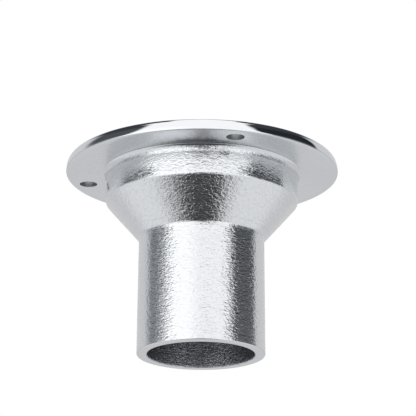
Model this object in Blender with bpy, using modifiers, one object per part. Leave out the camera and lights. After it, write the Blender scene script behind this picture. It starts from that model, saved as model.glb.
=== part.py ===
"""Stanchion base: a stainless through-deck socket that holds the foot of a guard-rail stanchion.

A round flange lies on the deck, and the hub and tube below it pass down through a hole in the deck.
The stanchion drops into a plastic liner inside the tube and stands on a washer with a drain hole,
which a circlip holds up. Every piece is turned about the Z axis, apart from the screw holes and the
circlip. Units are metres, +Z is up, and the origin is the centre of the tube's free lower end.
"""

import math

import bpy

MM = 0.001

# Clearance kept between neighbouring pieces.
GAP = 0.3 * MM

# Flange: a flat disc with a rounded rim, rounded from its underside edge over to its top face.
FLANGE_RADIUS = 40.0 * MM
FLANGE_THICKNESS = 3.8 * MM
RIM_ROUND_WIDTH = 3.9 * MM
RIM_FULLNESS = 3.2
RIM_EDGE_BREAK = 0.25 * MM
SEAT_INNER_RADIUS = 30.6 * MM
SEAT_RELIEF = 0.06 * MM

# Screw holes, equally spaced, with a shallow countersink in the top face.
SCREW_COUNT = 3
SCREW_CIRCLE_RADIUS = 35.05 * MM
SCREW_HOLE_RADIUS = 2.6 * MM
COUNTERSINK_RADIUS = 3.8 * MM
FIRST_SCREW_ANGLE = math.radians(30.0)

# Socket tube: cast with a slight draft, so that its free end is the wider one.
BELOW_DECK = 54.5 * MM
TUBE_END_RADIUS = 18.53 * MM
TUBE_TOP_RADIUS = 18.3 * MM
TUBE_EDGE_ROUND = 0.4 * MM
BORE_RADIUS = 15.5 * MM
SPIGOT_HEIGHT = 0.9 * MM

# Hub: a short spigot under the flange, then a cone down to the tube. Depths are below the flange.
HUB_TOP_RADIUS = 28.2 * MM
RIDGE_RADIUS = 28.2 * MM
RIDGE_DEPTH = 8.72 * MM
RIDGE_ROUND = 0.7 * MM
CONE_END_DEPTH = 20.04 * MM
HUB_WALL = 3.0 * MM

# Welds: a dressed cove between flange and hub, and a narrow seam where the cone meets the tube.
COVE_WIDTH = 1.6 * MM
COVE_HEIGHT = 2.2 * MM
COVE_ROOT = 2.0 * MM
SEAM_DEPTH = 18.3 * MM
SEAM_ROOT = 1.2 * MM
SEAM_FOOT = 0.55 * MM

# Liner: an acetal bush with a collar let into the mouth of the flange.
LINER_BORE_RADIUS = 12.8 * MM
COLLAR_RADIUS = 17.6 * MM
COLLAR_THICKNESS = 1.0 * MM
LEAD_IN = 0.6 * MM
LINER_CHAMFER = 0.35 * MM

# Foot washer and circlip, measured up from the tube's free end.
GROOVE_BASE = 12.0 * MM
CIRCLIP_THICKNESS = 1.2 * MM
CIRCLIP_RADIUS = 16.2 * MM
CIRCLIP_WIDTH_AT_GAP = 2.0 * MM
CIRCLIP_WIDTH_OPPOSITE = 3.0 * MM
CIRCLIP_HALF_GAP = math.radians(13.0)
CIRCLIP_LUG_SPAN = math.radians(17.0)
CIRCLIP_LUG_RADIUS = 11.4 * MM
CIRCLIP_EYE_RADIUS = 0.9 * MM
WASHER_THICKNESS = 2.0 * MM
DRAIN_RADIUS = 6.0 * MM
STOP_FACE_RADIUS = 12.4 * MM
STOP_FACE_RISE = 0.2 * MM
WASHER_EDGE = 0.3 * MM

# Facets.
TURN_STEPS = 72
RIM_STEPS = 10
COVE_STEPS = 5
EDGE_STEPS = 3
CIRCLIP_STEPS = 44
EYE_STEPS = 12
SMOOTH_ANGLE = math.radians(30.0)
MERGE = 0.001 * MM
CUTTER_OVERSHOOT = 1.0 * MM

# Levels worked out from the sizes above.
SEAT_LEVEL = BELOW_DECK
TOP_LEVEL = SEAT_LEVEL + FLANGE_THICKNESS
GROOVE_TOP = GROOVE_BASE + CIRCLIP_THICKNESS + 2 * GAP
GROOVE_RADIUS = CIRCLIP_RADIUS + GAP
WASHER_BASE = GROOVE_BASE + CIRCLIP_THICKNESS + 2 * GAP
STOP_LEVEL = WASHER_BASE + WASHER_THICKNESS
LINER_BASE = STOP_LEVEL + GAP
LINER_RADIUS = BORE_RADIUS - GAP
CONE_SLOPE = (RIDGE_RADIUS - TUBE_TOP_RADIUS) / (CONE_END_DEPTH - RIDGE_DEPTH)

PARTS_NAME = "stanchion_base"
CUTTERS_NAME = "cutters"


def clear_scene():
    for thing in list(bpy.data.objects):
        bpy.data.objects.remove(thing, do_unlink=True)


def new_collection(name):
    collection = bpy.data.collections.new(name)
    bpy.context.scene.collection.children.link(collection)
    return collection


def new_material(name, colour, metallic, roughness):
    material = bpy.data.materials.new(name)
    material.use_nodes = True
    shader = material.node_tree.nodes["Principled BSDF"]
    shader.inputs["Base Color"].default_value = (*colour, 1.0)
    shader.inputs["Metallic"].default_value = metallic
    shader.inputs["Roughness"].default_value = roughness
    material.diffuse_color = (*colour, 1.0)
    return material


def arc(centre, width, height, start_degrees, end_degrees, steps):
    """Points (radius, level) along an elliptical arc, both ends included."""
    points = []
    for index in range(steps + 1):
        angle = math.radians(start_degrees + (end_degrees - start_degrees) * index / steps)
        points.append((centre[0] + width * math.cos(angle), centre[1] + height * math.sin(angle)))
    return points


def rim_curve():
    """Points (radius, level) over the rim, on a superellipse: fuller than an ellipse at its shoulder."""
    points = []
    for index in range(RIM_STEPS + 1):
        angle = math.pi / 2 * (1.0 - index / RIM_STEPS)
        across = abs(math.cos(angle)) ** (2.0 / RIM_FULLNESS)
        up = math.sin(angle) ** (2.0 / RIM_FULLNESS) if index < RIM_STEPS else 0.0
        radius = FLANGE_RADIUS - RIM_ROUND_WIDTH * (1.0 - across)
        points.append((radius, SEAT_LEVEL + FLANGE_THICKNESS * up))
    return points


def cone_radius(depth):
    """Radius of the hub's cone at a depth below the flange."""
    return RIDGE_RADIUS - (depth - RIDGE_DEPTH) * CONE_SLOPE


def turned(name, profile, collection, material):
    """A ring turned about Z from a closed profile that runs down its outer side."""
    mesh = bpy.data.meshes.new(name + "_profile")
    corners = [(radius, 0.0, level) for radius, level in profile]
    count = len(corners)
    mesh.from_pydata(corners, [(index, (index + 1) % count) for index in range(count)], [])
    body = bpy.data.objects.new(name, mesh)
    collection.objects.link(body)
    screw = body.modifiers.new("turn", "SCREW")
    screw.axis = "Z"
    screw.angle = 2 * math.pi
    screw.steps = TURN_STEPS
    screw.render_steps = TURN_STEPS
    screw.use_merge_vertices = True
    screw.merge_threshold = MERGE
    screw.use_smooth_shade = True
    depsgraph = bpy.context.evaluated_depsgraph_get()
    solid = bpy.data.meshes.new_from_object(body.evaluated_get(depsgraph))
    body.modifiers.remove(screw)
    body.data = solid
    bpy.data.meshes.remove(mesh)
    solid.name = name
    solid.shade_smooth()
    solid.set_sharp_from_angle(angle=SMOOTH_ANGLE)
    solid.materials.append(material)
    return body


def flange_plate(collection, cutters, material):
    """Disc with a rounded rim, a recess for the liner's collar and a socket for the tube's spigot."""
    recess_radius = COLLAR_RADIUS + GAP
    recess_floor = TOP_LEVEL - COLLAR_THICKNESS - GAP
    spigot_radius = TUBE_TOP_RADIUS + GAP
    spigot_roof = SEAT_LEVEL + SPIGOT_HEIGHT + GAP
    rim = rim_curve()
    rim[-1] = (FLANGE_RADIUS, SEAT_LEVEL + RIM_EDGE_BREAK)
    profile = [(recess_radius, TOP_LEVEL)] + rim
    profile += [(FLANGE_RADIUS - RIM_EDGE_BREAK, SEAT_LEVEL), (SEAT_INNER_RADIUS, SEAT_LEVEL)]
    profile.append((SEAT_INNER_RADIUS - SEAT_RELIEF, SEAT_LEVEL + SEAT_RELIEF))
    profile += [(spigot_radius, SEAT_LEVEL + SEAT_RELIEF), (spigot_radius, spigot_roof)]
    profile += [(BORE_RADIUS, spigot_roof), (BORE_RADIUS, recess_floor), (recess_radius, recess_floor)]
    plate = turned("flange_plate", profile, collection, material)
    for index in range(SCREW_COUNT):
        cutter = screw_cutter(index, cutters, material)
        cut = plate.modifiers.new(cutter.name, "BOOLEAN")
        cut.operation = "DIFFERENCE"
        cut.solver = "EXACT"
        cut.object = cutter
    return plate


def screw_cutter(index, collection, material):
    """Screw hole with its countersink: a cylinder that opens at 45 degrees up to the top face."""
    low = SEAT_LEVEL - CUTTER_OVERSHOOT
    sink_start = TOP_LEVEL - (COUNTERSINK_RADIUS - SCREW_HOLE_RADIUS)
    wide = COUNTERSINK_RADIUS + CUTTER_OVERSHOOT
    profile = [(0.0, TOP_LEVEL + CUTTER_OVERSHOOT), (wide, TOP_LEVEL + CUTTER_OVERSHOOT)]
    profile += [(SCREW_HOLE_RADIUS, sink_start), (SCREW_HOLE_RADIUS, low), (0.0, low)]
    cutter = turned("screw_cutter_%d" % (index + 1), profile, collection, material)
    angle = FIRST_SCREW_ANGLE + 2 * math.pi * index / SCREW_COUNT
    cutter.location.x = SCREW_CIRCLE_RADIUS * math.cos(angle)
    cutter.location.y = SCREW_CIRCLE_RADIUS * math.sin(angle)
    cutter.hide_render = True
    cutter.display_type = "WIRE"
    return cutter


def flange_weld(collection, material):
    """Ring weld in the corner under the flange, dressed to a hollow cove that meets both surfaces."""
    top = SEAT_LEVEL - GAP
    cove_centre = (HUB_TOP_RADIUS + COVE_WIDTH, SEAT_LEVEL - COVE_HEIGHT)
    toe_angle = 180.0 - math.degrees(math.asin(1.0 - GAP / COVE_HEIGHT))
    profile = [(HUB_TOP_RADIUS - COVE_ROOT, top)]
    profile += arc(cove_centre, COVE_WIDTH, COVE_HEIGHT, toe_angle, 180.0, COVE_STEPS)
    return turned("flange_weld", profile, collection, material)


def hub_casting(collection, material):
    """Spigot and cone with an even wall, bevelled at the top and at the small end for the welds."""
    top = SEAT_LEVEL - GAP
    bevel_gap = GAP * math.sqrt(2.0)
    bore = TUBE_TOP_RADIUS + GAP
    ridge_level = SEAT_LEVEL - RIDGE_DEPTH
    cone_angle = math.atan(CONE_SLOPE)
    inner_corner = RIDGE_DEPTH - HUB_WALL * 0.4
    inner_run = (RIDGE_RADIUS - HUB_WALL - bore) / CONE_SLOPE
    seam_radius = cone_radius(SEAM_DEPTH)
    profile = [(HUB_TOP_RADIUS - HUB_WALL, top), (HUB_TOP_RADIUS - COVE_ROOT - bevel_gap, top)]
    profile.append((HUB_TOP_RADIUS, SEAT_LEVEL - COVE_HEIGHT - bevel_gap))
    profile.append((RIDGE_RADIUS, ridge_level + RIDGE_ROUND))
    profile.append((RIDGE_RADIUS - RIDGE_ROUND * 0.1, ridge_level + RIDGE_ROUND * 0.2))
    cone_start = RIDGE_ROUND * math.cos(cone_angle)
    profile.append((cone_radius(RIDGE_DEPTH + cone_start), ridge_level - cone_start))
    profile.append((seam_radius, SEAT_LEVEL - SEAM_DEPTH))
    profile.append((bore, SEAT_LEVEL - SEAM_DEPTH + SEAM_ROOT))
    profile.append((bore, SEAT_LEVEL - inner_corner - inner_run))
    profile.append((RIDGE_RADIUS - HUB_WALL, SEAT_LEVEL - inner_corner))
    return turned("hub_casting", profile, collection, material)


def tube_weld(collection, material):
    """Seam weld that fills the bevel at the cone's small end and carries its slope on to the tube."""
    tube_side = TUBE_TOP_RADIUS + GAP
    root = SEAT_LEVEL - SEAM_DEPTH + SEAM_ROOT - GAP * 1.5
    shoulder = SEAT_LEVEL - SEAM_DEPTH - GAP
    foot = SEAT_LEVEL - CONE_END_DEPTH - SEAM_FOOT
    profile = [(tube_side, root), (cone_radius(SEAM_DEPTH + GAP), shoulder)]
    profile.append((tube_side + SEAM_FOOT * 0.6, SEAT_LEVEL - CONE_END_DEPTH + SEAM_FOOT * 0.6))
    profile.append((tube_side, foot))
    return turned("tube_weld", profile, collection, material)


def socket_tube(collection, material):
    """Tube with a plain bore and the circlip groove; its top end is the spigot under the flange."""
    top = SEAT_LEVEL + SPIGOT_HEIGHT
    corner = (TUBE_END_RADIUS - TUBE_EDGE_ROUND, TUBE_EDGE_ROUND)
    inner_corner = (BORE_RADIUS + TUBE_EDGE_ROUND, TUBE_EDGE_ROUND)
    profile = [(BORE_RADIUS, top), (TUBE_TOP_RADIUS, top)]
    profile.append((TUBE_TOP_RADIUS, SEAT_LEVEL - CONE_END_DEPTH))
    profile += arc(corner, TUBE_EDGE_ROUND, TUBE_EDGE_ROUND, 0.0, -90.0, EDGE_STEPS)
    profile += arc(inner_corner, TUBE_EDGE_ROUND, TUBE_EDGE_ROUND, -90.0, -180.0, EDGE_STEPS)
    profile += [(BORE_RADIUS, GROOVE_BASE), (GROOVE_RADIUS, GROOVE_BASE)]
    profile += [(GROOVE_RADIUS, GROOVE_TOP), (BORE_RADIUS, GROOVE_TOP)]
    return turned("socket_tube", profile, collection, material)


def liner_bush(collection, material):
    """Plastic liner with a flush collar, chamfered at its mouth and at its lower end."""
    collar_base = TOP_LEVEL - COLLAR_THICKNESS
    profile = [(LINER_BORE_RADIUS + LEAD_IN, TOP_LEVEL), (COLLAR_RADIUS - LINER_CHAMFER, TOP_LEVEL)]
    profile += [(COLLAR_RADIUS, TOP_LEVEL - LINER_CHAMFER), (COLLAR_RADIUS, collar_base)]
    profile += [(LINER_RADIUS, collar_base), (LINER_RADIUS, LINER_BASE + LINER_CHAMFER)]
    profile += [(LINER_RADIUS - LINER_CHAMFER, LINER_BASE), (LINER_BORE_RADIUS, LINER_BASE)]
    profile.append((LINER_BORE_RADIUS, TOP_LEVEL - LEAD_IN))
    return turned("liner_bush", profile, collection, material)


def foot_washer(collection, material):
    """Washer with a raised pad that the stanchion's foot stands on, and a drain hole in its middle."""
    rim = LINER_RADIUS
    shelf = STOP_LEVEL - STOP_FACE_RISE
    profile = [(DRAIN_RADIUS + WASHER_EDGE, STOP_LEVEL), (STOP_FACE_RADIUS, STOP_LEVEL)]
    profile.append((STOP_FACE_RADIUS + STOP_FACE_RISE, shelf))
    profile += [(rim - WASHER_EDGE, shelf), (rim, shelf - WASHER_EDGE)]
    profile += [(rim, WASHER_BASE + WASHER_EDGE), (rim - WASHER_EDGE, WASHER_BASE)]
    profile += [(DRAIN_RADIUS + WASHER_EDGE, WASHER_BASE), (DRAIN_RADIUS, WASHER_BASE + WASHER_EDGE)]
    profile.append((DRAIN_RADIUS, STOP_LEVEL - WASHER_EDGE))
    return turned("foot_washer", profile, collection, material)


def add_loop(curve, points):
    spline = curve.splines.new("POLY")
    spline.points.add(len(points) - 1)
    for point, (x, y) in zip(spline.points, points):
        point.co = (x, y, 0.0, 1.0)
    spline.use_cyclic_u = True


def polar(radius, angle):
    return (radius * math.cos(angle), radius * math.sin(angle))


def circlip(collection, material):
    """Internal retaining ring: widest opposite its gap, with a lug and a plier eye at each end."""
    lug_end = CIRCLIP_HALF_GAP + CIRCLIP_LUG_SPAN
    outer_span = 2 * (math.pi - CIRCLIP_HALF_GAP)
    inner_span = 2 * (math.pi - lug_end)
    growth = CIRCLIP_WIDTH_OPPOSITE - CIRCLIP_WIDTH_AT_GAP
    outline = []
    for index in range(CIRCLIP_STEPS + 1):
        outline.append(polar(CIRCLIP_RADIUS, CIRCLIP_HALF_GAP + outer_span * index / CIRCLIP_STEPS))
    outline.append(polar(CIRCLIP_LUG_RADIUS, -CIRCLIP_HALF_GAP))
    outline.append(polar(CIRCLIP_LUG_RADIUS, -lug_end))
    for index in range(CIRCLIP_STEPS + 1):
        angle = -lug_end - inner_span * index / CIRCLIP_STEPS
        width = CIRCLIP_WIDTH_AT_GAP + growth * (1.0 - math.cos(angle)) / 2
        outline.append(polar(CIRCLIP_RADIUS - width, angle))
    outline.append(polar(CIRCLIP_LUG_RADIUS, lug_end))
    outline.append(polar(CIRCLIP_LUG_RADIUS, CIRCLIP_HALF_GAP))
    curve = bpy.data.curves.new("circlip", "CURVE")
    curve.dimensions = "2D"
    curve.fill_mode = "BOTH"
    curve.extrude = CIRCLIP_THICKNESS / 2
    add_loop(curve, outline)
    eye_circle = (CIRCLIP_RADIUS + CIRCLIP_LUG_RADIUS) / 2
    for side in (1.0, -1.0):
        eye = polar(eye_circle, side * (CIRCLIP_HALF_GAP + CIRCLIP_LUG_SPAN / 2))
        ring = [polar(CIRCLIP_EYE_RADIUS, 2 * math.pi * index / EYE_STEPS) for index in range(EYE_STEPS)]
        add_loop(curve, [(eye[0] + x, eye[1] + y) for x, y in ring])
    curve.materials.append(material)
    ring = bpy.data.objects.new("circlip", curve)
    ring.location.z = GROOVE_BASE + GAP + CIRCLIP_THICKNESS / 2
    collection.objects.link(ring)
    return ring


def main():
    clear_scene()
    parts = new_collection(PARTS_NAME)
    cutters = new_collection(CUTTERS_NAME)
    polished = new_material("polished_stainless", (0.80, 0.81, 0.83), 1.0, 0.10)
    machined = new_material("dressed_weld", (0.74, 0.75, 0.77), 1.0, 0.28)
    cast = new_material("cast_stainless", (0.70, 0.71, 0.73), 1.0, 0.34)
    tube_steel = new_material("cast_tube_stainless", (0.68, 0.69, 0.71), 1.0, 0.30)
    seam = new_material("seam_weld", (0.72, 0.73, 0.75), 1.0, 0.30)
    acetal = new_material("black_acetal", (0.02, 0.02, 0.022), 0.0, 0.45)
    washer_steel = new_material("pressed_stainless", (0.66, 0.67, 0.69), 1.0, 0.25)
    spring_steel = new_material("spring_stainless", (0.42, 0.42, 0.43), 1.0, 0.35)
    flange_plate(parts, cutters, polished)
    flange_weld(parts, machined)
    hub_casting(parts, cast)
    tube_weld(parts, seam)
    socket_tube(parts, tube_steel)
    liner_bush(parts, acetal)
    foot_washer(parts, washer_steel)
    circlip(parts, spring_steel)


main()
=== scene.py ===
import math

import bpy
import numpy as np
from mathutils import Matrix, Vector


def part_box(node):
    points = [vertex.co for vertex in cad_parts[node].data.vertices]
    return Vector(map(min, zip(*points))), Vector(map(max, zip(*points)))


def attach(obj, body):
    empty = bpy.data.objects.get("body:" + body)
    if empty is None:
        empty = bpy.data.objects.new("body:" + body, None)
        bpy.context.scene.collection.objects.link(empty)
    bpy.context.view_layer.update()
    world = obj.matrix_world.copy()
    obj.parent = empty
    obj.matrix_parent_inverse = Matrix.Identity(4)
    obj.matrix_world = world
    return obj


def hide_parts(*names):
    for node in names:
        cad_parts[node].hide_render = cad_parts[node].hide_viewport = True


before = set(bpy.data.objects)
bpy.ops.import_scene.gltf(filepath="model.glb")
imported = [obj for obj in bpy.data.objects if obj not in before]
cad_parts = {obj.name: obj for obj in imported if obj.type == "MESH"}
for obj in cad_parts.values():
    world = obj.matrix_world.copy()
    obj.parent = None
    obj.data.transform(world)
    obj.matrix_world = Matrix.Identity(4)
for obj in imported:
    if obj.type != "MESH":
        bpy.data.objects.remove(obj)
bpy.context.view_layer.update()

# A stainless through-deck stanchion socket: flange on top, stepped hub under it, open tube below.
# Sizes are in millimetres. Levels are heights above the tube's free end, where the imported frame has
# its origin, and the outlines of turned pieces are made of places (radius, level).

MM = 0.001
BODY = "root"


def node_box_mm(node):
    """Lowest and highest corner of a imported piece, in millimetres."""
    low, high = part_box(node)
    return np.array(low) / MM, np.array(high) / MM


FLANGE_LOW, FLANGE_HIGH = node_box_mm("flange_plate")
_, HUB_HIGH = node_box_mm("hub_casting")
_, TUBE_HIGH = node_box_mm("socket_tube")
LINER_LOW, LINER_HIGH = node_box_mm("liner_bush")
WASHER_LOW, WASHER_HIGH = node_box_mm("foot_washer")

# Flange. The seat is its underside, and the recess in its top takes the liner's collar.
SEAT = FLANGE_LOW[2]
TOP = FLANGE_HIGH[2]
FLANGE_RADIUS = FLANGE_HIGH[0]
FLANGE_THICKNESS = TOP - SEAT
RIM_ROUND_WIDTH = 3.9
RIM_FULLNESS = 3.2
RIM_EDGE_ROUND = 0.3
RIM_POINTS = 48
RECESS_DEPTH = 1.25
RECESS_RADIUS = 17.75

# Screw holes, countersunk at 45 degrees, and how far their cutters stand out of the flange.
SCREW_COUNT = 3
SCREW_CIRCLE = 35.05
SCREW_RADIUS = 2.6
COUNTERSINK_RADIUS = 3.8
FIRST_SCREW_ANGLE = math.radians(30.0)
CUTTER_SIDES = 96
CUTTER_SPARE = 1.0

# Tube, with the groove for its circlip.
TUBE_END_RADIUS = TUBE_HIGH[0]
TUBE_TOP_RADIUS = 18.3
TUBE_TOP = TUBE_HIGH[2]
TUBE_EDGE_ROUND = 0.3
BORE_RADIUS = 15.5
GROOVE_BASE = 12.0
GROOVE_TOP = 13.8
GROOVE_RADIUS = 16.5

# Hub: an upright spigot, a ridge and a cone. The seam weld carries the cone on from the seam level.
RIDGE_RADIUS = HUB_HIGH[0]
RIDGE_LEVEL = SEAT - 8.72
RIDGE_ROUND = 0.9
HUB_TOP_RADIUS = 28.1
FLARE_HEIGHT = 3.0
FLARE_ROUND = 12.0
CONE_END_LEVEL = SEAT - 20.04
SEAM_LEVEL = SEAT - 18.3
SEAM_SINK = 0.2
SEAM_TAIL = 1.2
HUB_WALL = 3.0

# Cove weld between flange and hub. It stops TOE_ANGLE degrees short of running out on the flange.
COVE_WIDTH = 1.15
COVE_HEIGHT = 2.2
COVE_POINTS = 26
TOE_ANGLE = 20.0
TOE_HEIGHT = 0.5

# Liner and washer inside the tube.
LINER_BORE = 12.8
COLLAR_DEPTH = 1.05
LEAD_IN_WIDTH = 0.9
LEAD_IN_DEPTH = 1.3
DRAIN_RADIUS = 6.0

# Room left between pieces that only touch, and between the tube and what it is pushed into.
HAIR = 0.02
TUBE_ROOM = 0.05

# Points round each turned piece. The cast ones need more, for their grain.
FLANGE_SIDES = 360
HUB_SIDES = 600
TUBE_SIDES = 480
INNER_SIDES = 240
CREASE_ANGLE = math.radians(38.0)


# ---------------------------------------------------------------------------------------------
# Outlines


def unit(vectors):
    """Each vector divided by its own length."""
    return vectors / np.linalg.norm(vectors, axis=-1, keepdims=True)


def corner_arc(before, corner, after, radius, step):
    """Points on the circle of that radius that touches both runs of a corner: its centre is on the
    bisector at radius / sin(half the corner angle), and its ends are at radius / tan(half)."""
    to_before = unit(before - corner)
    to_after = unit(after - corner)
    half = math.acos(np.clip(to_before @ to_after, -1.0, 1.0)) / 2
    centre = corner + unit(to_before + to_after) * radius / math.sin(half)
    spokes = [corner + side * radius / math.tan(half) - centre for side in (to_before, to_after)]
    first, last = [math.atan2(spoke[1], spoke[0]) for spoke in spokes]
    sweep = (last - first + math.pi) % (2 * math.pi) - math.pi
    count = max(3, math.ceil(radius * abs(sweep) / step))
    angles = np.linspace(first, first + sweep, count + 1)
    return centre + radius * np.stack([np.cos(angles), np.sin(angles)], axis=1)


def outline(corners):
    """Closed outline through corners (radius, level, rounding, spacing, zone). Each corner is rounded
    to its own radius, and the run that leaves it gets points at its spacing and carries its zone."""
    places = np.array([corner[:2] for corner in corners], float)
    arcs = []
    for index, (_, _, rounding, spacing, _) in enumerate(corners):
        if rounding:
            after = places[(index + 1) % len(places)]
            step = min(spacing, rounding / 4)
            arcs.append(corner_arc(places[index - 1], places[index], after, rounding, step))
        else:
            arcs.append(places[index:index + 1])
    points, zones = [], []
    for index, (arc, (_, _, _, spacing, zone)) in enumerate(zip(arcs, corners)):
        start, end = arc[-1], arcs[(index + 1) % len(arcs)][0]
        count = max(1, round(np.linalg.norm(end - start) / spacing))
        run = start + (end - start) * np.linspace(0.0, 1.0, count + 1)[1:-1, None]
        points += [arc, run]
        zones += [zone] * (len(arc) + len(run))
    return np.concatenate(points), np.array(zones)


def fade(values, low, high):
    """0 at low and 1 at high, along 3t^2 - 2t^3."""
    share = np.clip((values - low) / (high - low), 0.0, 1.0)
    return share * share * (3 - 2 * share)


# ---------------------------------------------------------------------------------------------
# Cast grain


def lattice_noise(points, cell, seed):
    """Smooth noise from -1 to 1: random values on a cubic lattice of that cell (one size, or one for
    each axis), blended between the eight corners round each point with 3t^2 - 2t^3."""
    size = 64
    lattice = np.random.default_rng(seed).uniform(-1.0, 1.0, (size, size, size))
    scaled = points / np.asarray(cell)
    base = np.floor(scaled).astype(int)
    blend = scaled - base
    blend = blend * blend * (3 - 2 * blend)
    total = np.zeros(points.shape[:-1])
    for corner in np.ndindex(2, 2, 2):
        place = (base + corner) % size
        share = np.prod(np.where(np.array(corner) == 1, blend, 1 - blend), axis=-1)
        total += share * lattice[place[..., 0], place[..., 1], place[..., 2]]
    return total


def cast_grain(points):
    """Height of the shell-mould grain in millimetres: fine pimples, crossed by low wrinkles, which
    are the creases |noise| of a field drawn out sideways, on a slow waviness."""
    pimples = lattice_noise(points, 0.52, 11) + 0.6 * lattice_noise(points, 0.95, 12)
    wrinkles = 1 - 2 * np.abs(lattice_noise(points, (2.1, 2.1, 0.75), 13))
    waves = lattice_noise(points, 4.6, 14)
    return 0.012 * pimples + 0.010 * wrinkles + 0.014 * waves


# ---------------------------------------------------------------------------------------------
# Surfaces


def ring_places(radius, level, around):
    """Rings of points (r cos a, r sin a, level), one ring for each row of radius and level."""
    angles = np.arange(around) * (2 * math.pi / around)
    x = radius * np.cos(angles)
    y = radius * np.sin(angles)
    return np.stack([x, y, np.broadcast_to(level, x.shape)], axis=-1)


def ring_faces(below, around):
    """Quads all the way round, from each ring to the one whose number stands for it in below."""
    row, column = np.indices((len(below), around))
    under = np.asarray(below)[row]
    beside = (column + 1) % around
    corners = [(row, column), (under, column), (under, beside), (row, beside)]
    return np.stack([r * around + c for r, c in corners], axis=-1).reshape(-1, 4)


def turned_grid(profile, around, relief=None):
    """Surface (angle, place on the outline) -> (r cos a, r sin a, level), with the outline pushed
    along its own normal by relief, a function of the points that gives a height for each."""
    radius, level = profile[:, :1], profile[:, 1:]
    if relief is not None:
        along = unit(np.roll(profile, -1, axis=0) - np.roll(profile, 1, axis=0))
        height = relief(ring_places(radius, level, around))
        radius = radius - along[:, 1:] * height
        level = level + along[:, :1] * height
    faces = ring_faces(np.roll(np.arange(len(profile)), -1), around)
    return ring_places(radius, level, around).reshape(-1, 3), faces


def smooth(mesh):
    mesh.shade_smooth()
    mesh.set_sharp_from_angle(angle=CREASE_ANGLE)


def make_piece(name, points_mm, faces, zones, materials, slot, *nodes):
    """Mesh piece from arrays, at the origin, riding on the part's one body."""
    mesh = bpy.data.meshes.new(name)
    mesh.from_pydata((points_mm * MM).tolist(), [], faces.tolist())
    mesh.polygons.foreach_set("material_index", zones.astype(np.int32))
    for material in materials:
        mesh.materials.append(material)
    smooth(mesh)
    piece = bpy.data.objects.new(name, mesh)
    bpy.context.scene.collection.objects.link(piece)
    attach(piece, BODY)
    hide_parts(*nodes)
    return piece


def turned(name, corners, around, materials, slot, *nodes, cast_share=None):
    """A closed ring turned from an outline that runs down its outer side. A corner's zone is the
    number of its material, and cast_share(radius, level) is how much of the cast grain a place on
    the outline gets."""
    profile, zones = outline(corners)
    relief = None
    if cast_share is not None:
        share = cast_share(*profile.T)[:, None]

        def relief(points):
            return cast_grain(points) * share

    points, faces = turned_grid(profile, around, relief)
    return make_piece(name, points, faces, np.repeat(zones, around), materials, slot, *nodes)


# ---------------------------------------------------------------------------------------------
# Materials


def linear(hex_colour):
    """sRGB hex colour as linear RGBA."""
    channels = [int(hex_colour[index:index + 2], 16) / 255 for index in (1, 3, 5)]
    return (*[c / 12.92 if c <= 0.04045 else ((c + 0.055) / 1.055) ** 2.4 for c in channels], 1.0)


def feed(tree, node, *in_order, **by_name):
    """Gives a node its properties and inputs by name, then its inputs in order. A value that is a
    socket is linked, and any other is set."""
    for name, value in [*by_name.items(), *enumerate(in_order)]:
        if isinstance(name, str) and hasattr(node, name):
            setattr(node, name, value)
            continue
        socket = node.inputs[name.replace("_", " ") if isinstance(name, str) else name]
        if isinstance(value, bpy.types.NodeSocket):
            tree.links.new(value, socket)
        else:
            socket.default_value = value
    return node


def add_node(tree, kind, *in_order, **by_name):
    """Adds a shader node with its settings and links, as feed gives them."""
    return feed(tree, tree.nodes.new("ShaderNode" + kind), *in_order, **by_name)


def new_material(name, **fixed):
    """A Principled material with its fixed values on the shader's own sockets."""
    material = bpy.data.materials.new(name)
    material.use_nodes = True
    tree = material.node_tree
    return material, tree, feed(tree, tree.nodes["Principled BSDF"], **fixed)


def scale_for(size_mm):
    """Scale of a noise whose features are about size_mm across."""
    return 1.0 / (size_mm * MM)


def two_tones(tree, pattern, low, high, first, second):
    """The first hex colour where the pattern is below low, the second above high, a blend between."""
    share = add_node(tree, "MapRange", pattern, low, high, 0.0, 1.0).outputs["Result"]
    blend = add_node(
        tree, "Mix", data_type="RGBA", Factor=share, A=linear(first), B=linear(second)
    )
    return blend.outputs["Result"]


def cast_steel(name, colour, dark, shine, size_mm, stretch, depth_mm):
    """Investment-cast 316 stainless, electropolished: bright metal with a fine skin of grains about
    size_mm wide, drawn out sideways by stretch. They break up the edges of reflections, and the
    hollows between them are painted a little darker than the polished tops, as painted shade."""
    material, tree, shader = new_material(name, Metallic=1.0)
    place = add_node(tree, "TexCoord").outputs["Object"]
    squeezed = add_node(tree, "Mapping", Vector=place, Scale=(1.0, 1.0, stretch)).outputs["Vector"]
    grain = add_node(
        tree, "TexNoise", Vector=squeezed, Scale=scale_for(size_mm), Detail=1.0, Roughness=0.45,
        Distortion=0.9,
    ).outputs["Fac"]
    blotches = add_node(tree, "TexNoise", Vector=place, Scale=scale_for(3.0)).outputs["Fac"]
    uneven = add_node(tree, "MapRange", blotches, 0.3, 0.7, shine, shine + 0.05)
    bump = add_node(tree, "Bump", Height=grain, Strength=1.0, Distance=depth_mm * MM)
    # Base colour: the second colour goes into the grain's hollows as painted shade, the first onto its
    # tops.
    feed(
        tree, shader, Base_Color=two_tones(tree, grain, 0.34, 0.56, dark, colour),
        Roughness=uneven.outputs["Result"], Normal=bump.outputs["Normal"],
    )
    return material


def mirror_steel():
    """316 stainless buffed to a mirror: almost clean reflections, with the faint haze and the
    slight waviness that a buffing wheel leaves."""
    material, tree, shader = new_material(
        "mirror_polished_stainless", Metallic=1.0, Base_Color=linear("#E4E6E8")
    )
    place = add_node(tree, "TexCoord").outputs["Object"]
    haze = add_node(tree, "TexNoise", Vector=place, Scale=scale_for(6.0), Detail=4.0).outputs["Fac"]
    waves = add_node(tree, "TexNoise", Vector=place, Scale=scale_for(2.4), Detail=1.0).outputs["Fac"]
    uneven = add_node(tree, "MapRange", haze, 0.35, 0.7, 0.035, 0.09)
    bump = add_node(tree, "Bump", Height=waves, Strength=0.12, Distance=0.03 * MM)
    feed(tree, shader, Roughness=uneven.outputs["Result"], Normal=bump.outputs["Normal"])
    return material


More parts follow.
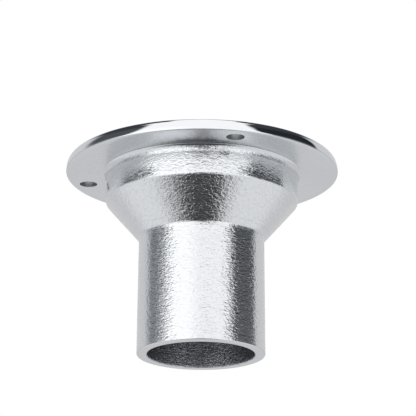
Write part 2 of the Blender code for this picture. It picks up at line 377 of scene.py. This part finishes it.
def turned_steel(name, roughness, anisotropic):
    """316 stainless faced on a lathe: fine circular tool marks about 0.12 mm apart, drawn here at
    0.45 mm so that they show, which spread the highlight into a fan across the marks."""
    material, tree, shader = new_material(name, Metallic=1.0, Anisotropic=anisotropic)
    place = add_node(tree, "TexCoord").outputs["Object"]
    flat = add_node(tree, "Mapping", Vector=place, Scale=(1.0, 1.0, 0.0)).outputs["Vector"]
    radius = add_node(tree, "VectorMath", flat, operation="LENGTH").outputs["Value"]
    spoke = add_node(tree, "CombineXYZ", X=radius).outputs["Vector"]
    marks = add_node(
        tree, "TexNoise", Vector=spoke, Scale=scale_for(0.45), Detail=3.0, Roughness=0.7
    ).outputs["Fac"]
    patches = add_node(tree, "TexNoise", Vector=place, Scale=scale_for(7.0)).outputs["Fac"]
    uneven = add_node(tree, "MapRange", patches, 0.3, 0.7, roughness, roughness + 0.05)
    tangent = add_node(tree, "Tangent", direction_type="RADIAL", axis="Z")
    bump = add_node(tree, "Bump", Height=marks, Strength=0.04, Distance=0.02 * MM)
    feed(
        tree, shader, Base_Color=two_tones(tree, marks, 0.3, 0.7, "#D0D2D4", "#D8DADC"),
        Roughness=uneven.outputs["Result"], Tangent=tangent.outputs["Tangent"],
        Normal=bump.outputs["Normal"],
    )
    return material


def dressed_steel():
    """Ground and buffed weld metal: smooth, with a soft shine and a little unevenness."""
    material, tree, shader = new_material(
        "buffed_weld_stainless", Metallic=1.0, Base_Color=linear("#D6D8DA")
    )
    place = add_node(tree, "TexCoord").outputs["Object"]
    patches = add_node(tree, "TexNoise", Vector=place, Scale=scale_for(1.6)).outputs["Fac"]
    dents = add_node(tree, "TexNoise", Vector=place, Scale=scale_for(0.8)).outputs["Fac"]
    uneven = add_node(tree, "MapRange", patches, 0.3, 0.7, 0.10, 0.16)
    bump = add_node(tree, "Bump", Height=dents, Strength=0.25, Distance=0.05 * MM)
    feed(tree, shader, Roughness=uneven.outputs["Result"], Normal=bump.outputs["Normal"])
    return material


def drilled_steel():
    """Drilled hole walls: duller, greyer metal with drill rings 0.3 mm apart, half in shadow."""
    material, tree, shader = new_material("drilled_stainless", Metallic=1.0)
    place = add_node(tree, "TexCoord").outputs["Object"]
    level = add_node(tree, "Mapping", Vector=place, Scale=(0.1, 0.1, 1.0)).outputs["Vector"]
    rings = add_node(tree, "TexNoise", Vector=level, Scale=scale_for(0.3)).outputs["Fac"]
    uneven = add_node(tree, "MapRange", rings, 0.3, 0.7, 0.30, 0.42)
    bump = add_node(tree, "Bump", Height=rings, Strength=0.3, Distance=0.03 * MM)
    feed(
        tree, shader, Base_Color=two_tones(tree, rings, 0.3, 0.7, "#9A9B9D", "#B4B5B7"),
        Roughness=uneven.outputs["Result"], Normal=bump.outputs["Normal"],
    )
    return material


def black_acetal():
    """Turned black acetal (POM): satin, with tool rings 0.35 mm apart that catch a soft light."""
    material, tree, shader = new_material("turned_black_acetal", Metallic=0.0, IOR=1.48)
    place = add_node(tree, "TexCoord").outputs["Object"]
    level = add_node(tree, "Mapping", Vector=place, Scale=(0.02, 0.02, 1.0)).outputs["Vector"]
    rings = add_node(tree, "TexNoise", Vector=level, Scale=scale_for(0.35)).outputs["Fac"]
    patches = add_node(tree, "TexNoise", Vector=place, Scale=scale_for(1.5)).outputs["Fac"]
    uneven = add_node(tree, "MapRange", patches, 0.3, 0.7, 0.34, 0.46)
    bump = add_node(tree, "Bump", Height=rings, Strength=0.2, Distance=0.03 * MM)
    feed(
        tree, shader, Base_Color=two_tones(tree, rings, 0.3, 0.7, "#1B1C1E", "#26272A"),
        Roughness=uneven.outputs["Result"], Normal=bump.outputs["Normal"],
    )
    return material


def spring_steel():
    """Hardened spring steel strip: dull grey, faintly mottled by its heat treatment."""
    material, tree, shader = new_material("hardened_spring_steel", Metallic=1.0)
    place = add_node(tree, "TexCoord").outputs["Object"]
    mottle = add_node(tree, "TexNoise", Vector=place, Scale=scale_for(1.2), Detail=3.0).outputs["Fac"]
    uneven = add_node(tree, "MapRange", mottle, 0.3, 0.7, 0.30, 0.42)
    feed(
        tree, shader, Base_Color=two_tones(tree, mottle, 0.35, 0.65, "#6A6C70", "#8A8C90"),
        Roughness=uneven.outputs["Result"],
    )
    return material


# The hub's and the tube's outsides are polished brighter than the bore, which stays rough.
POLISHED = mirror_steel()
FACED = turned_steel("faced_satin_stainless", 0.24, 0.75)
END_FACED = turned_steel("faced_tube_end_stainless", 0.22, 0.5)
BUFFED = dressed_steel()
DRILLED = drilled_steel()
SPIGOT_CAST = cast_steel(
    "electropolished_spigot_casting", "#E2E4E6", "#DCDEE0", 0.08,
    size_mm=1.2, stretch=2.2, depth_mm=0.085,
)
HUB_CAST = cast_steel(
    "electropolished_hub_casting", "#DEE0E2", "#D7D9DB", 0.08,
    size_mm=0.9, stretch=1.7, depth_mm=0.10,
)
TUBE_CAST = cast_steel(
    "electropolished_tube_casting", "#E0E2E4", "#D9DBDD", 0.08,
    size_mm=1.1, stretch=2.4, depth_mm=0.10,
)
# The bore's grain hollows are painted much darker than its tops, as painted shade.
BORE_CAST = cast_steel(
    "rough_bore_casting", "#BCBEC1", "#808387", 0.27,
    size_mm=0.8, stretch=2.0, depth_mm=0.12,
)


# ---------------------------------------------------------------------------------------------
# Pieces


def screw_cutter(bearing):
    """Turned cutter for the screw hole on that bearing: a cylinder that opens at 45 degrees up to
    the top face, as rings (r cos a, r sin a, level) moved out to the hole, with two flat caps."""
    rings = np.array([
        (COUNTERSINK_RADIUS + CUTTER_SPARE, TOP + CUTTER_SPARE),
        (SCREW_RADIUS, TOP - (COUNTERSINK_RADIUS - SCREW_RADIUS)),
        (SCREW_RADIUS, SEAT - CUTTER_SPARE),
    ])
    centre = SCREW_CIRCLE * np.array([math.cos(bearing), math.sin(bearing), 0.0])
    points = (ring_places(rings[:, :1], rings[:, 1:], CUTTER_SIDES) + centre).reshape(-1, 3)
    sides = ring_faces(range(1, len(rings)), CUTTER_SIDES)
    numbers = list(range(len(points)))
    caps = [numbers[:CUTTER_SIDES], numbers[-CUTTER_SIDES:][::-1]]
    mesh = bpy.data.meshes.new("screw_cutter")
    mesh.from_pydata((points * MM).tolist(), [], sides.tolist() + caps)
    cutter = bpy.data.objects.new("screw_cutter", mesh)
    bpy.context.scene.collection.objects.link(cutter)
    return cutter


def cut_screw_holes(piece, drilled):
    """Cuts the screw holes one by one, then gives the drilled zone to their walls."""
    turn = 2 * math.pi / SCREW_COUNT
    for index in range(SCREW_COUNT):
        cutter = screw_cutter(FIRST_SCREW_ANGLE + turn * index)
        cut = piece.modifiers.new("screw_hole", "BOOLEAN")
        cut.operation = "DIFFERENCE"
        cut.solver = "EXACT"
        cut.object = cutter
        evaluated = piece.evaluated_get(bpy.context.evaluated_depsgraph_get())
        solid = bpy.data.meshes.new_from_object(evaluated)
        piece.modifiers.clear()
        piece.data = solid
        bpy.data.objects.remove(cutter)
    mesh = piece.data
    centres = np.empty(len(mesh.polygons) * 3)
    zones = np.empty(len(mesh.polygons), np.int32)
    mesh.polygons.foreach_get("center", centres)
    mesh.polygons.foreach_get("material_index", zones)
    x, y, z = centres.reshape(-1, 3).T / MM
    radius = np.hypot(x, y)
    bearing = (np.arctan2(y, x) - FIRST_SCREW_ANGLE + turn / 2) % turn - turn / 2
    from_hole = np.hypot(radius * np.cos(bearing) - SCREW_CIRCLE, radius * np.sin(bearing))
    wall = (from_hole < COUNTERSINK_RADIUS - HAIR) & (z > SEAT + HAIR / 2) & (z < TOP - HAIR / 2)
    mesh.polygons.foreach_set("material_index", np.where(wall, drilled, zones).astype(np.int32))
    smooth(mesh)


def make_flange():
    """Flange: flat top, a full rim that drops to the underside edge, and a faced underside. The rim
    is the superellipse across = cos(a)^(2/n), up = sin(a)^(2/n), set out again at even distances and
    ended just short of the underside."""
    polished, faced, drilled = range(3)
    angles = np.linspace(math.pi / 2, 0.0, 2000)
    across = np.cos(angles) ** (2 / RIM_FULLNESS)
    up = np.sin(angles) ** (2 / RIM_FULLNESS)
    radius = FLANGE_RADIUS - RIM_ROUND_WIDTH * (1 - across)
    level = SEAT + FLANGE_THICKNESS * up
    length = np.concatenate([[0], np.cumsum(np.hypot(np.diff(radius), np.diff(level)))])
    even = np.linspace(0.0, length[-1] - 0.5, RIM_POINTS)
    rim = zip(np.interp(even, length, radius), np.interp(even, length, level))
    socket = TUBE_TOP_RADIUS + TUBE_ROOM
    roof = TUBE_TOP + TUBE_ROOM
    floor = TOP - RECESS_DEPTH
    corners = [
        (RECESS_RADIUS, TOP, 0.3, 2.0, polished),
        *[(r, z, 0, 2.0, polished) for r, z in rim],
        (FLANGE_RADIUS, SEAT, RIM_EDGE_ROUND, 2.0, faced),
        (socket, SEAT, 0.1, 1.0, faced),
        (socket, roof, 0, 3.0, faced),
        (BORE_RADIUS, roof, 0, 1.0, faced),
        (BORE_RADIUS, floor, 0, 3.0, faced),
        (RECESS_RADIUS, floor, 0, 1.0, polished),
    ]
    piece = turned(
        "flange", corners, FLANGE_SIDES, [POLISHED, FACED, DRILLED], "polished_stainless",
        "flange_plate",
    )
    cut_screw_holes(piece, drilled)


def make_cove():
    """Weld cove: part of a hollow quarter ellipse (centre + width cos a, centre + height sin a), from
    a crisp toe on the flange to the upright hub. Only the toe is buffed, and the rest has the cast
    skin."""
    buffed, cast = range(2)
    toe = math.radians(TOE_ANGLE)
    angles = np.linspace(math.pi / 2 + toe, math.pi, COVE_POINTS)
    width = COVE_WIDTH / (1 - math.sin(toe))
    height = (COVE_HEIGHT - HAIR) / math.cos(toe)
    hollow = zip(
        HUB_TOP_RADIUS + width * (1 + np.cos(angles)), SEAT - COVE_HEIGHT + height * np.sin(angles)
    )
    corners = [
        (HUB_TOP_RADIUS - 2.0, SEAT - HAIR, 0, 1.5, buffed),
        *[(r, z, 0, 1.0, cast if z < SEAT - TOE_HEIGHT else buffed) for r, z in hollow],
        (HUB_TOP_RADIUS - 0.05, SEAT - COVE_HEIGHT - 0.06, 0, 1.0, cast),
    ]

    def cast_share(radius, level):
        below_toe = fade(SEAT - level, 0.15, 0.7)
        outside = fade(radius, HUB_TOP_RADIUS - 0.04, HUB_TOP_RADIUS)
        return 0.8 * below_toe * outside

    turned(
        "flange_cove_weld", corners, HUB_SIDES, [BUFFED, HUB_CAST], "dressed_weld", "flange_weld",
        cast_share=cast_share,
    )


def cone_radius(level):
    """Radius of the hub's cone at a level, on the straight line from the ridge to the tube."""
    return np.interp(level, [CONE_END_LEVEL, RIDGE_LEVEL], [TUBE_TOP_RADIUS, RIDGE_RADIUS])


def make_hub():
    """Hub casting: upright spigot that flares a little above the ridge, cone, even inner wall."""
    cone, spigot = range(2)
    step = 0.28
    top = SEAT - 0.1
    bore = TUBE_TOP_RADIUS + TUBE_ROOM
    inner = RIDGE_RADIUS - HUB_WALL
    knee = RIDGE_LEVEL + 1.2
    inner_slope = 1.14
    corners = [
        (HUB_TOP_RADIUS - HUB_WALL, top, 0, 2.0, cone),
        (HUB_TOP_RADIUS - 2.1, top, 0, 1.0, cone),
        (HUB_TOP_RADIUS, SEAT - COVE_HEIGHT - 0.12, 0.1, step, spigot),
        (HUB_TOP_RADIUS, RIDGE_LEVEL + FLARE_HEIGHT, FLARE_ROUND, step, spigot),
        (RIDGE_RADIUS, RIDGE_LEVEL, RIDGE_ROUND, step, cone),
        (cone_radius(SEAM_LEVEL), SEAM_LEVEL, 0, 0.6, cone),
        (bore, SEAM_LEVEL + 1.1, 0, 2.0, cone),
        (bore, knee - (inner - bore) * inner_slope, 0.5, 2.0, cone),
        (inner, knee, 0.8, 2.0, cone),
    ]

    def cast_share(radius, level):
        outside = fade(radius, cone_radius(level) - 1.2, cone_radius(level) - 0.9)
        below_cove = fade(SEAT - COVE_HEIGHT - level, 0.1, 0.8)
        return outside * below_cove

    turned(
        "hub_cone", corners, HUB_SIDES, [HUB_CAST, SPIGOT_CAST], "cast_stainless", "hub_casting",
        cast_share=cast_share,
    )


def make_seam():
    """Seam weld: carries the cone's slope on, turns down in a small hollow and sinks into the tube."""
    root = TUBE_TOP_RADIUS - SEAM_SINK
    start = SEAM_LEVEL - HAIR
    corners = [
        (root, SEAM_LEVEL + 1.0, 0, 0.5, 0),
        (cone_radius(start), start, 0, 0.2, 0),
        (TUBE_TOP_RADIUS + 0.15, CONE_END_LEVEL + 0.17, 0.9, 0.2, 0),
        (TUBE_TOP_RADIUS - 0.05, CONE_END_LEVEL - SEAM_TAIL, 0, 0.5, 0),
        (root, CONE_END_LEVEL - SEAM_TAIL, 0, 0.5, 0),
    ]

    def cast_share(radius, level):
        return fade(radius, TUBE_TOP_RADIUS + 0.05, TUBE_TOP_RADIUS + 0.2)

    turned(
        "tube_seam_weld", corners, TUBE_SIDES, [HUB_CAST], "seam_weld", "tube_weld",
        cast_share=cast_share,
    )


def make_tube():
    """Socket tube: cast outside with a slight draft, faced free end, rough bore, circlip groove."""
    outer, end, bore = range(3)
    corners = [
        (BORE_RADIUS, TUBE_TOP, 0, 3.0, bore),
        (TUBE_TOP_RADIUS, TUBE_TOP, 0, 6.0, outer),
        (TUBE_TOP_RADIUS, CONE_END_LEVEL + 0.6, 0, 0.25, outer),
        (TUBE_END_RADIUS, 0.0, TUBE_EDGE_ROUND, 0.5, end),
        (BORE_RADIUS, 0.0, TUBE_EDGE_ROUND, 0.36, bore),
        (BORE_RADIUS, GROOVE_BASE, 0, 1.0, bore),
        (GROOVE_RADIUS, GROOVE_BASE, 0, 2.0, bore),
        (GROOVE_RADIUS, GROOVE_TOP, 0, 1.0, bore),
        (BORE_RADIUS, GROOVE_TOP, 0, 8.0, bore),
    ]
    middle = (BORE_RADIUS + TUBE_END_RADIUS) / 2

    def cast_share(radius, level):
        under_cone = 1 - fade(level, CONE_END_LEVEL - 0.4, CONE_END_LEVEL + 0.5)
        under_groove = 1 - fade(level, 10.5, 11.5)
        outside = (radius > middle) * fade(level, 0.25, 0.7) * under_cone
        inside = (radius < middle) * fade(level, 0.25, 0.8) * under_groove
        return outside + 0.8 * inside

    turned(
        "open_tube", corners, TUBE_SIDES, [TUBE_CAST, END_FACED, BORE_CAST], "cast_tube_stainless",
        "socket_tube", cast_share=cast_share,
    )


def make_liner():
    """Acetal liner: flush collar with rounded edges, and a tapered lead-in down to the bore."""
    collar = LINER_HIGH[0] + 0.05
    body = BORE_RADIUS - 0.3
    corners = [
        (LINER_BORE + LEAD_IN_WIDTH, TOP, 0.25, 1.0, 0),
        (collar, TOP, 0.3, 0.5, 0),
        (collar, TOP - COLLAR_DEPTH, 0, 1.0, 0),
        (body, TOP - COLLAR_DEPTH, 0, 3.0, 0),
        (body, LINER_LOW[2], 0.35, 1.0, 0),
        (LINER_BORE, LINER_LOW[2], 0.3, 3.0, 0),
        (LINER_BORE, TOP - LEAD_IN_DEPTH, 0.6, 0.4, 0),
    ]
    turned("acetal_liner", corners, INNER_SIDES, [black_acetal()], "black_acetal", "liner_bush")


def make_washer():
    """Foot washer: flat, with rolled edges and a round drain hole."""
    rim, low, high = WASHER_HIGH[0], WASHER_LOW[2], WASHER_HIGH[2]
    corners = [
        (DRAIN_RADIUS, high, 0.4, 1.0, 0),
        (rim, high, 0.35, 1.0, 0),
        (rim, low, 0.35, 1.0, 0),
        (DRAIN_RADIUS, low, 0.4, 1.0, 0),
    ]
    faced = turned_steel("pressed_washer_stainless", 0.26, 0.4)
    turned("drain_washer", corners, INNER_SIDES, [faced], "pressed_stainless", "foot_washer")


def dress_circlip():
    """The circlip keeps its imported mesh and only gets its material."""
    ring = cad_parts["circlip"]
    ring.data.materials.clear()
    ring.data.materials.append(spring_steel())


make_flange()
make_cove()
make_hub()
make_seam()
make_tube()
make_liner()
make_washer()
dress_circlip()


# ---------------------------------------------------------------------------------------------
# Studio

CAMERA_AZIMUTH = math.radians(-15.4)
CAMERA_ELEVATION = math.radians(-16.52)
CAMERA_ROLL = math.radians(0.34)
CAMERA_DISTANCE = 622.2
CAMERA_AIM_LEVEL = 29.5
CAMERA_AIM_SIDE = 1.9
CAMERA_AIM_UP = 14.2
CAMERA_LENS = 184.6
CAMERA_SENSOR = 36.0

FLOOR_LEVEL = -0.6
FLOOR_HALF_WIDTH = 6000.0

# Half widths of the softbox by tilt in degrees, which runs from 0 in front over the top to 180 behind.
SOFTBOX_END = 128.0
LEFT_LIMIT = [
    (0, 0.95), (16, 0.95), (18, 0.89), (21, 0.83), (25, 0.76), (32, 0.69), (45, 0.585), (53, 0.525),
    (75, 0.37), (100, 0.22), (118, 0.10), (SOFTBOX_END, 0.0), (180, 0.0),
]
RIGHT_LIMIT = [
    (0, 0.83), (17, 0.83), (20, 0.74), (24, 0.65), (31, 0.58), (45, 0.50), (64, 0.40), (90, 0.30),
    (110, 0.20), (SOFTBOX_END, 0.0), (180, 0.0),
]
SOFTBOX_BLUR = 0.035


def make_camera():
    """Long lens below the flange, looking up at the underside; rolled a hair clockwise."""
    back = Vector((
        math.sin(CAMERA_AZIMUTH) * math.cos(CAMERA_ELEVATION),
        -math.cos(CAMERA_AZIMUTH) * math.cos(CAMERA_ELEVATION),
        math.sin(CAMERA_ELEVATION),
    ))
    level_right = Vector((0, 0, 1)).cross(back).normalized()
    level_up = back.cross(level_right)
    right = math.cos(CAMERA_ROLL) * level_right + math.sin(CAMERA_ROLL) * level_up
    up = back.cross(right)
    base = Vector((0, 0, CAMERA_AIM_LEVEL)) * MM
    place = base + back * CAMERA_DISTANCE * MM
    aim = base + (right * CAMERA_AIM_SIDE + up * CAMERA_AIM_UP) * MM
    back = (place - aim).normalized()
    right = up.cross(back).normalized()
    up = back.cross(right)
    data = bpy.data.cameras.new("camera")
    data.lens = CAMERA_LENS
    data.sensor_width = CAMERA_SENSOR
    data.clip_start = 0.05
    data.clip_end = 20.0
    camera = bpy.data.objects.new("camera", data)
    camera.matrix_world = Matrix((
        (right.x, up.x, back.x, place.x),
        (right.y, up.y, back.y, place.y),
        (right.z, up.z, back.z, place.z),
        (0, 0, 0, 1),
    ))
    bpy.context.scene.collection.objects.link(camera)
    bpy.context.scene.camera = camera


def make_floor():
    """Pale one-sided floor just under the tube's end: from below, only its clear back is seen."""
    half, level = FLOOR_HALF_WIDTH * MM, FLOOR_LEVEL * MM
    corners = [(-half, -half, level), (half, -half, level), (half, half, level), (-half, half, level)]
    mesh = bpy.data.meshes.new("floor")
    mesh.from_pydata(corners, [], [(0, 1, 2, 3)])
    floor = bpy.data.objects.new("floor", mesh)
    bpy.context.scene.collection.objects.link(floor)
    material, tree, shader = new_material(
        "pale_floor", Base_Color=linear("#EDEDEE"), Roughness=0.8, Emission_Color=linear("#FFFFFF"),
        Emission_Strength=0.40,
    )
    clear = add_node(tree, "BsdfTransparent")
    below = add_node(tree, "NewGeometry").outputs["Backfacing"]
    sides = add_node(tree, "MixShader", below, shader.outputs[0], clear.outputs[0])
    feed(tree, tree.nodes["Material Output"], Surface=sides.outputs[0])
    mesh.materials.append(material)
    floor.visible_glossy = False
    floor.visible_shadow = False


def make_studio():
    """Studio light as a world, painted panel over panel on the directions, which are turned so that
    -Y points to the camera's side. Side, left, front and up are parts of the unit direction, and
    azimuth, height and tilt are degrees. The camera itself sees a plain white background."""
    world = bpy.data.worlds.new("studio")
    bpy.context.scene.world = world
    world.use_nodes = True
    tree = world.node_tree
    tree.nodes.clear()

    def every(*masks):
        """Product of masks."""
        total = masks[0]
        for mask in masks[1:]:
            total = add_node(tree, "Math", total, mask, operation="MULTIPLY").outputs[0]
        return total

    def beyond(value, at, soft):
        """0 below at - soft, 1 above at + soft; at is a number or a socket."""
        start = add_node(tree, "Math", value, at, operation="SUBTRACT").outputs[0]
        return add_node(
            tree, "MapRange", start, -soft, soft, 0.0, 1.0, interpolation_type="SMOOTHSTEP"
        ).outputs["Result"]

    def short_of(value, at, soft):
        """1 below at - soft, 0 above at + soft."""
        reached = beyond(value, at, soft)
        return add_node(tree, "Math", 1.0, reached, operation="SUBTRACT").outputs[0]

    def half_width(stops):
        """Half width of the softbox at a direction's tilt, straight between the stops."""
        place = add_node(tree, "Math", tilt, 180.0, operation="DIVIDE").outputs[0]
        curve = add_node(tree, "FloatCurve", Value=place)
        points = curve.mapping.curves[0].points
        for at, width in stops[1:-1]:
            points.new(at / 180, width)
        for index, (at, width) in enumerate(stops):
            points[index].location = (at / 180, width)
            points[index].handle_type = "VECTOR"
        curve.mapping.update()
        return curve.outputs["Value"]

    direction = add_node(tree, "TexCoord").outputs["Generated"]
    turned_in = add_node(
        tree, "Mapping", vector_type="POINT", Vector=direction, Rotation=(0.0, 0.0, -CAMERA_AZIMUTH)
    )
    split = add_node(tree, "SeparateXYZ", Vector=turned_in.outputs["Vector"])
    side, back, up = split.outputs["X"], split.outputs["Y"], split.outputs["Z"]
    left = add_node(tree, "Math", side, -1.0, operation="MULTIPLY").outputs[0]
    front = add_node(tree, "Math", back, -1.0, operation="MULTIPLY").outputs[0]
    bearing = add_node(tree, "Math", side, front, operation="ARCTAN2").outputs[0]
    azimuth = add_node(tree, "Math", bearing, operation="DEGREES").outputs[0]
    rise = add_node(tree, "Math", up, operation="ARCSINE").outputs[0]
    height = add_node(tree, "Math", rise, operation="DEGREES").outputs[0]
    behind = add_node(tree, "Math", front, 0.0, operation="LESS_THAN").outputs[0]
    over_top = add_node(tree, "Math", height, -2.0, 180.0, operation="MULTIPLY_ADD").outputs[0]
    tilt = add_node(tree, "Math", height, every(behind, over_top), operation="ADD").outputs[0]

    low_room = short_of(height, -24.0, 6.0)
    front_wall = every(
        short_of(height, -5.0, 3.0), beyond(height, -27.0, 5.0), beyond(front, 0.45, 0.15)
    )
    right_flag = every(
        beyond(azimuth, 47.0, 3.0), short_of(azimuth, 112.0, 3.0), beyond(height, -4.0, 6.0)
    )
    left_flag = every(
        short_of(azimuth, -47.0, 3.0), beyond(azimuth, -112.0, 10.0), beyond(height, -4.0, 6.0)
    )
    flag_top = beyond(height, 20.0, 2.0)
    ceiling = beyond(height, 40.0, 6.0)
    stand = every(
        short_of(left, 0.52, 0.34), short_of(side, 0.39, 0.16), short_of(height, -52.0, 6.0),
        beyond(front, -0.05, 0.2),
    )
    neck = every(
        short_of(left, 0.26, 0.16), short_of(side, 0.22, 0.12), short_of(height, -30.0, 6.0),
        beyond(height, -56.0, 6.0), beyond(front, 0.0, 0.2),
    )
    head = every(
        short_of(left, 0.16, 0.10), short_of(side, 0.16, 0.10), short_of(height, -10.0, 4.0),
        beyond(height, -30.0, 6.0), beyond(front, 0.0, 0.2),
    )
    softbox = every(
        short_of(left, half_width(LEFT_LIMIT), SOFTBOX_BLUR),
        short_of(side, half_width(RIGHT_LIMIT), SOFTBOX_BLUR),
        beyond(height, -8.0, 3.0),
        short_of(tilt, SOFTBOX_END, 3.0),
    )
    softbox_left = every(softbox, beyond(left, 0.25, 0.25), short_of(height, 22.0, 8.0))
    softbox_edge = every(softbox, beyond(left, 0.925, 0.07), short_of(height, 18.5, 2.0))
    bar = every(
        short_of(left, 0.05, 0.10), short_of(side, 0.45, 0.10), short_of(height, -2.0, 4.0),
        beyond(height, -13.0, 2.0), beyond(front, 0.2, 0.2),
    )
    # The room is light grey, paler near the ground and brightest low in front. Dark cloth flags hang
    # at both sides, darker higher up, under a dark ceiling. The camera's stand, neck and head rise in
    # front of them. The softbox hangs over all, narrower towards the back, brighter low on the left
    # but dim at its left edge, and a dark bar runs below it.
    light = (0.70, 0.705, 0.715, 1.0)
    panels = [
        (low_room, (0.90, 0.905, 0.915)),
        (front_wall, (1.25, 1.25, 1.26)),
        (right_flag, (0.15, 0.155, 0.165)),
        (every(right_flag, flag_top), (0.02, 0.024, 0.030)),
        (left_flag, (0.30, 0.31, 0.325)),
        (every(left_flag, flag_top), (0.085, 0.09, 0.10)),
        (ceiling, (0.045, 0.05, 0.058)),
        (stand, (0.06, 0.061, 0.065)),
        (neck, (0.15, 0.152, 0.156)),
        (head, (0.26, 0.262, 0.266)),
        (softbox, (1.17, 1.17, 1.18)),
        (softbox_left, (1.42, 1.42, 1.42)),
        (softbox_edge, (0.30, 0.31, 0.325)),
        (bar, (0.28, 0.282, 0.286)),
    ]
    for mask, colour in panels:
        light = add_node(
            tree, "Mix", data_type="RGBA", Factor=mask, A=light, B=(*colour, 1.0)
        ).outputs["Result"]
    lit = add_node(tree, "Background", Color=light)
    plain = add_node(tree, "Background", Color=(1.0, 1.0, 1.0, 1.0))
    seen = add_node(tree, "LightPath").outputs["Is Camera Ray"]
    shown = add_node(tree, "MixShader", seen, lit.outputs[0], plain.outputs[0])
    add_node(tree, "OutputWorld", Surface=shown.outputs[0])


make_camera()
make_floor()
make_studio()
bpy.context.scene.view_settings.view_transform = "Standard"
